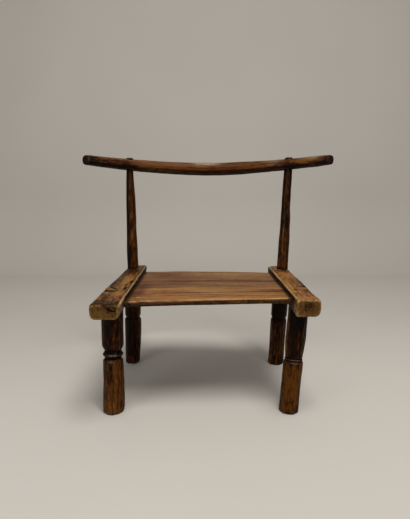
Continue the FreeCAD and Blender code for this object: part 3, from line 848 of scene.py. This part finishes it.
# Each stile's lobes are painted light where they lighten a side and painted shade where they darken it;
# its streaks are pale, partly wear and partly painted highlights
Stile = namedtuple("Stile", "node name lobes streaks")
stiles = [
    Stile("rear_left_stile", "left_stile",
          [(-125, 40, 90, 240, -1.6), (-120, 40, 30, 90, -0.8), (-40, 30, -10, 180, 0.3),
           (-170, 40, 275, 545, -1.8), (-60, 34, 275, 520, 0.1), (-110, 30, 275, 330, -0.6)],
          [(-30, 1.8, 60, 190, 0.3), (-75, 1.4, 330, 420, 0.25)]),
    Stile("rear_right_stile", "right_stile",
          [(-90, 70, 130, 240, -1.4), (-100, 20, 20, 130, -0.4), (-150, 24, -10, 120, 0.5),
           (-50, 26, 20, 120, 0.4), (-20, 34, 275, 545, -1.0), (-100, 60, 420, 545, -0.2),
           (-120, 30, 275, 380, 0.3)],
          [(-150, 1.8, 10, 110, 0.45), (-118, 1.5, 20, 110, 0.35), (-70, 1.4, 290, 350, 0.3),
           (-110, 1.2, 300, 420, 0.25)]),
]
rear_groove = 134.3 * mm
post_heights = (250 * mm, 300 * mm)    # where the leg gives way to the post
rail_heights = (234 * mm, 240 * mm)    # where the leg goes into the rail


def dress_stile(stile, material, seed):
    """A rear leg and its back post in one, whittled from one billet."""
    piece = even_copy(stile.node, stile.name, leg_step)
    points = points_of(piece)
    soften(piece, step_up(np.abs(points[:, 2] - rear_groove), 16 * mm, 12 * mm), 4)
    soften(piece, step_up(points[:, 2], 8 * mm, 3 * mm) * step_up(points[:, 2], 0.2 * mm, 1 * mm), 4)
    points = points_of(piece)
    low = slice_centre(points, 30 * mm, 34 * mm)
    high = slice_centre(points, 440 * mm, 450 * mm)
    distance, angle, radius, along = round_coordinates(points, low, high)
    slim = step_up(points[:, 2], *post_heights)
    cuts = knife_cuts(distance, angle, radius, points, 9, (0.55 - 0.2 * slim) * mm, seed)
    in_rail = step_up(points[:, 2], *rail_heights)
    in_rail *= step_up(points[:, 2], rail_top + 1 * mm, rail_top - 2 * mm)
    foot = step_up(points[:, 2], 9 * mm, 1 * mm)
    worn_foot = foot * 0.6 * mm * (1 + waves(points, (10 * mm,) * 3, seed + 3))
    carve(piece, (cuts + worn_foot) * (1 - in_rail))
    stand_flat(piece)

    points = points_of(piece)
    distance, angle, radius, along = round_coordinates(points, low, high)
    grain = round_grain(distance, angle, radius)
    # The leg's stretch under the seat gets painted shade; the joints, the neck under the crest, the groove
    # and the foot's edge are darkened too
    under_seat_shade = step_up(points[:, 2], 130 * mm, 240 * mm)
    under_seat_shade *= step_up(points[:, 2], rail_top, rail_top - 8 * mm)
    joints = step_up(points[:, 2], rail_top + 9 * mm, rail_top)
    joints *= step_up(points[:, 2], rail_top - 6 * mm, rail_top)
    neck = step_up(points[:, 2], 490 * mm, 530 * mm)
    groove = step_up(np.abs(points[:, 2] - rear_groove), 4 * mm, 1.2 * mm)
    foot_edge = step_up(points[:, 2], 5 * mm, 1 * mm)
    weather_and_shade(piece, pale_streaks(points, angle, radius, stile.streaks, seed + 5),
            0.45 * under_seat_shade + 0.8 * joints + 0.7 * neck + 0.7 * groove + 0.7 * foot_edge)
    slim = step_up(points[:, 2], *post_heights)
    tone = lobes_of(points, angle, stile.lobes) - 0.25
    finish_piece(piece, grain, along, material, tone, 0.1 + 0.35 * slim)


# Crest rail

crest_marks = [
    Mark([(-289.0, 66.0, 549.0), (-272.0, 86.0, 548.0)], 0.9, 0.9, 0.9, 0.7),
    Mark([(-262.0, 76.0, 541.0), (-245.0, 93.0, 540.0)], 1.1, 0.9, 0.9, 0.7),
    Mark([(265.0, 75.0, 546.0), (240.0, 98.0, 545.0)], 0.9, 0.9, 0.9, 0.6),
    Mark([(252.0, 84.0, 540.0), (228.0, 104.0, 538.0)], 0.8, 0.8, 0.9, 0.6),
    Mark([(286.0, 58.0, 549.0)], 2.6, 1.2, 0.9, 0.6),
    Mark([(276.0, 67.0, 552.0)], 2.0, 1.0, 0.9, 0.6),
]
# Among the crest's tones, the middle of the top is lightened as a painted highlight and the places round
# each post's top are darkened as painted shade; the rest is the wood's own tone
crest_tone = [((0, 190, 545), (40, 30, 9), 1.2), ((-40, 190, 545), (16, 30, 8), 0.6),
              ((-285, 70, 545), (22, 30, 30), -1.3), ((288, 68, 545), (22, 30, 30), -0.9),
              ((-202, 112, 532), (17, 40, 11), -1.7), ((205, 110, 532), (17, 40, 11), -1.5),
              ((-250, 90, 540), (20, 30, 12), -0.5), ((-120, 160, 536), (66, 40, 30), 1.3),
              ((100, 165, 536), (60, 40, 30), 0.5), ((230, 100, 545), (40, 40, 30), 0.5)]
crest_warm = [((-80, 170, 530), (90, 44, 16), 0.9), ((70, 175, 530), (70, 40, 14), 0.9),
              ((-190, 120, 540), (40, 40, 14), 0.5)]
# Rubbed pale places; those at the middle of the top are partly worn scratches and partly a painted
# highlight
crest_rub_and_highlight = [((5, 185, 544), (26, 20, 5), 0.75), ((-26, 185, 544), (12, 16, 4), 0.5),
             ((158, 130, 546), (16, 24, 6), 0.55), ((176, 120, 548), (9, 24, 5), 0.5),
             ((246, 84, 552), (26, 24, 5), 0.4)]


def dress_crest():
    """The back's bent rail, whittled along its length."""
    piece = even_copy("crest_rail", "bent_crest", crest_step)
    points = points_of(piece)
    lumps = 0.35 * mm * waves(points, (60 * mm, 40 * mm, 26 * mm), 51)
    ripple = 0.14 * mm * waves(points, (22 * mm, 4 * mm, 4 * mm), 52)
    carve(piece, 0.1 * mm + lumps + ripple)
    points = points_of(piece)
    normals = normals_of(piece)
    # The underside gets painted shade; the ends are darker end grain
    underside_shade = step_up(normals[:, 2], 0.0, -0.5)
    from_middle = np.abs(points[:, 0])
    ends = step_up(from_middle, 288 * mm, 294 * mm)
    weather_and_shade(piece, spots(points, crest_rub_and_highlight), 0.92 * underside_shade + 0.5 * ends)
    keep(piece, "wear", kept(piece, "wear") * step_up(from_middle, 288 * mm, 270 * mm))
    cut_marks(piece, crest_marks, 53)

    # The grain follows the bend, an arc seen from above
    points = points_of(piece)
    low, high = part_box("crest_rail")
    half = (high[0] - low[0]) / 2
    bow = high[1] - low[1] - 40 * mm
    bend = (half ** 2 + bow ** 2) / (2 * bow)
    centre_y = high[1] - 32 * mm - bend
    angle = np.arctan2(points[:, 0], points[:, 1] - centre_y)
    out = np.hypot(points[:, 0], points[:, 1] - centre_y) - bend
    along = np.column_stack([np.cos(angle), -np.sin(angle), 0 * angle])
    middle_height, end_height = 528 * mm, 545 * mm
    centre_z = np.interp(np.abs(angle), [0, np.abs(angle).max()], [middle_height, end_height])
    grain = np.column_stack([angle * bend, out, points[:, 2] - centre_z])
    finish_piece(piece, grain, along, crest_wood, spots(points, crest_tone),
                 spots(points, crest_warm))


for i, rail in enumerate(rails):
    dress_rail(rail, rails_wood[i], 61 + 10 * i)
dress_plank()
for i, leg in enumerate(legs):
    dress_leg(leg, legs_wood[i], 81 + 10 * i)
for i, stile in enumerate(stiles):
    dress_stile(stile, legs_wood[2 + i], 101 + 10 * i)
dress_crest()


# Stage, light and camera

key_tint = (1.0, 0.97, 0.92)
fill_tint = (1.0, 0.98, 0.95)


def plain(name, colour):
    """A matt, very slightly uneven surface."""
    material, tree = new_material(name)
    place = add(tree, "ShaderNodeTexCoord", {}).outputs["Object"]
    cloud = add(tree, "ShaderNodeTexNoise", {"Vector": place, "Scale": 1.3, "Detail": 2.0}).outputs[0]
    tint = mix(tree, ranged(tree, cloud, 0.3, 0.7), colour, [c * 0.96 for c in colour[:3]] + [1.0])
    shader = add(tree, "ShaderNodeBsdfPrincipled", {"Base Color": tint, "Roughness": 0.85})
    add(tree, "ShaderNodeOutputMaterial", {"Surface": shader.outputs[0]})
    return material


def backdrop():
    """A pale floor that sweeps up into a wall behind the chair."""
    near, far, side, top, bend = -1.6, 1.8, 2.6, 2.4, 0.45
    steps = 24
    profile = [(near, 0.0)]
    for i in range(steps + 1):
        turn = i / steps * tau / 4
        profile.append((far - bend + bend * math.sin(turn), bend - bend * math.cos(turn)))
    profile.append((far, top))
    vertices = [(x, y, z) for y, z in profile for x in (-side, side)]
    faces = [(2 * i, 2 * i + 1, 2 * i + 3, 2 * i + 2) for i in range(len(profile) - 1)]
    mesh = bpy.data.meshes.new("backdrop")
    mesh.from_pydata(vertices, [], faces)
    for face in mesh.polygons:
        face.use_smooth = True
    sweep = bpy.data.objects.new("backdrop", mesh)
    bpy.context.collection.objects.link(sweep)
    mesh.materials.append(plain("pale_paint", srgb(208, 203, 196)))


def lamp(name, place, target, size, power, colour):
    """A soft square lamp turned to a point."""
    data = bpy.data.lights.new(name, "AREA")
    data.size = size
    data.energy = power
    data.color = colour
    lamp_object = bpy.data.objects.new(name, data)
    lamp_object.location = place
    lamp_object.rotation_euler = (Vector(target) - Vector(place)).to_track_quat("-Z", "Y").to_euler()
    bpy.context.collection.objects.link(lamp_object)


def daylight(strength):
    """Even light from all round."""
    world = bpy.data.worlds.new("soft_room")
    world.use_nodes = True
    background = world.node_tree.nodes["Background"]
    background.inputs["Color"].default_value = (*fill_tint, 1.0)
    background.inputs["Strength"].default_value = strength
    bpy.context.scene.world = world


def camera():
    """The camera, set from its pitch, yaw and roll."""
    ahead = Vector((math.sin(camera_yaw), math.cos(camera_yaw), 0))
    forward = ahead * math.cos(camera_pitch) - Vector((0, 0, math.sin(camera_pitch)))
    level = Vector((math.cos(camera_yaw), -math.sin(camera_yaw), 0))
    upright = level.cross(forward)
    right = level * math.cos(camera_roll) + upright * math.sin(camera_roll)
    up = upright * math.cos(camera_roll) - level * math.sin(camera_roll)
    data = bpy.data.cameras.new("view")
    data.lens = camera_lens
    data.sensor_width = camera_sensor
    data.shift_y = camera_shift_y
    seen = bpy.data.objects.new("view", data)
    seen.matrix_world = Matrix((right, up, -forward)).transposed().to_4x4()
    seen.location = camera_place
    bpy.context.collection.objects.link(seen)
    bpy.context.scene.camera = seen


backdrop()
lamp("key", place=(0.35, -0.95, 2.25), target=(0, -0.05, 0.25), size=0.9, power=40, colour=key_tint)
lamp("fill", place=(-1.5, -1.6, 0.9), target=(0, 0, 0.3), size=1.2, power=9, colour=fill_tint)
daylight(strength=0.25)
camera()
bpy.context.scene.view_settings.view_transform = "Standard"
